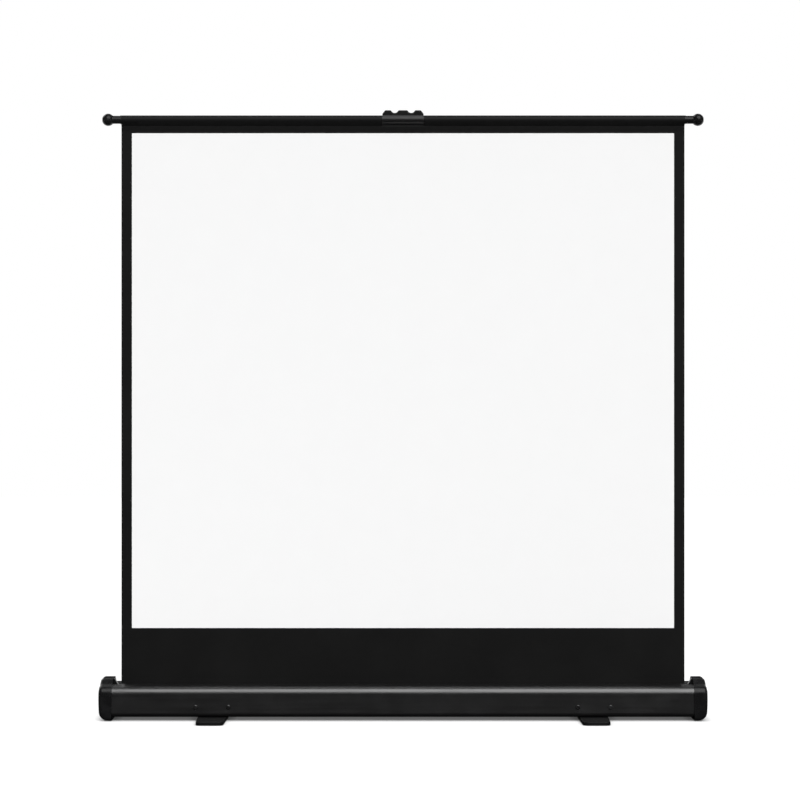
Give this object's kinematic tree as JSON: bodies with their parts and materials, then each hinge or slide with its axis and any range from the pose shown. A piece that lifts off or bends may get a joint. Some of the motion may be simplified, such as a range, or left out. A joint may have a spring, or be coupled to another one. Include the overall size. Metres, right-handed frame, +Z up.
{
  "type": "tabletop projection screen",
  "caption": "Free-standing pull-up tabletop projection screen: white cloth with black border on a spring roller in a flat housing, held up by a geared folding arm frame.",
  "frame": {"origin": "centre of the footprint on the table, under the middle of the housing", "axes": "+X along the screen to the viewer's right, +Y away from the viewer, +Z up"},
  "size_m": [1.115, 0.194, 1.1221],
  "materials": {
    "black_anodised": "black satin",
    "bare_aluminium": "mill finish",
    "black_plastic": "moulded black, semi gloss",
    "inner_plastic": "natural moulded",
    "gear_nylon": "black moulded",
    "zinc_steel": "zinc plated",
    "black_screw": "black oxide",
    "satin_grey": "satin dark grey",
    "arm_aluminium": "black satin",
    "foot_paint": "black satin",
    "rubber": "matt",
    "friction_washer": "matt",
    "screen_white": "matt white with a black printed border",
    "black_cloth": "matt black"
  },
  "bodies": {
    "housing": {"housing_shell": "black_anodised", "end_cap_left": "black_plastic", "end_cap_right": "black_plastic", "end_cap_screws": "zinc_steel", "foot_anchors": "zinc_steel", "foot_anchor_screws": "black_screw", "foot_pivot_bolts": "zinc_steel", "foot_washers": "friction_washer", "base_bracket": "zinc_steel", "base_bracket_screws": "zinc_steel", "base_pivot_pins": "zinc_steel", "idler_bush": "inner_plastic", "spring_shaft": "zinc_steel", "spring_collar": "inner_plastic", "roller_spring": "zinc_steel", "screen_cloth": "screen_white"},
    "roller": {"roller_tube": "bare_aluminium", "roller_idler_plug": "inner_plastic", "roller_spring_plug": "inner_plastic", "cloth_wraps": "black_cloth"},
    "lower_arm_right": {"lower_arm_right": "arm_aluminium", "base_gear_right": "gear_nylon", "base_rivets_right": "zinc_steel", "knee_pin_right": "zinc_steel"},
    "lower_arm_left": {"lower_arm_left": "arm_aluminium", "base_gear_left": "gear_nylon", "base_rivets_left": "zinc_steel", "knee_pin_left": "zinc_steel"},
    "upper_arm_right": {"upper_arm_right": "arm_aluminium", "top_gear_right": "gear_nylon", "top_rivets_right": "zinc_steel"},
    "upper_arm_left": {"upper_arm_left": "arm_aluminium", "top_gear_left": "gear_nylon", "top_rivets_left": "zinc_steel"},
    "top_bar": {"bar_tube": "black_anodised", "bar_insert": "bare_aluminium", "bar_hem": "black_cloth", "end_knob_left": "black_plastic", "end_knob_right": "black_plastic", "top_bracket": "satin_grey", "pull_grip": "black_plastic", "grip_screws": "black_screw", "top_pivot_pins": "zinc_steel", "top_pivot_spacers": "inner_plastic"},
    "foot_left": {"foot_left": "foot_paint", "foot_left_pads": "rubber"},
    "foot_right": {"foot_right": "foot_paint", "foot_right_pads": "rubber"}
  },
  "joints": [
    {"name": "lift", "type": "hinge", "parent": "housing", "child": "lower_arm_right", "pos_m": [-0.024, 0.02065, 0.0393], "axis": [0, 1, 0], "range_deg": [0, 75.2], "deforming": ["screen_cloth"]},
    {"name": "knee_right", "type": "hinge", "parent": "lower_arm_right", "child": "upper_arm_right", "pos_m": [0.10272, 0.02065, 0.56714], "axis": [0, 1, 0], "range_deg": [-150.4, 0]},
    {"name": "bar_level", "type": "hinge", "parent": "upper_arm_right", "child": "top_bar", "pos_m": [-0.024, 0.02065, 1.09498], "axis": [0, 1, 0], "range_deg": [0, 75.2]},
    {"name": "lower_left_pivot", "type": "hinge", "parent": "housing", "child": "lower_arm_left", "pos_m": [0.024, 0.02065, 0.0393], "axis": [0, 1, 0], "range_deg": [-75.2, 0]},
    {"name": "knee_left", "type": "hinge", "parent": "lower_arm_left", "child": "upper_arm_left", "pos_m": [-0.10272, 0.02065, 0.56714], "axis": [0, 1, 0], "range_deg": [0, 150.4]},
    {"name": "roller_spin", "type": "hinge", "parent": "housing", "child": "roller", "pos_m": [0, -0.01475, 0.03535], "axis": [1, 0, 0], "range_deg": [-3225.34, 0]},
    {"name": "foot_left_swivel", "type": "hinge", "parent": "housing", "child": "foot_left", "pos_m": [-0.3496, 0, 0.0008], "axis": [0, 0, 1], "range_deg": [0, 90]},
    {"name": "foot_right_swivel", "type": "hinge", "parent": "housing", "child": "foot_right", "pos_m": [0.3496, 0, 0.0008], "axis": [0, 0, 1], "range_deg": [-90, 0]}
  ],
  "couplings": [
    {"joint": "knee_right", "follows": "lift", "ratio": -2},
    {"joint": "bar_level", "follows": "lift", "ratio": 1},
    {"joint": "lower_left_pivot", "follows": "lift", "ratio": -1},
    {"joint": "knee_left", "follows": "lift", "ratio": 2},
    {"joint": "roller_spin", "follows": "lift", "ratio": -42.89}
  ]
}
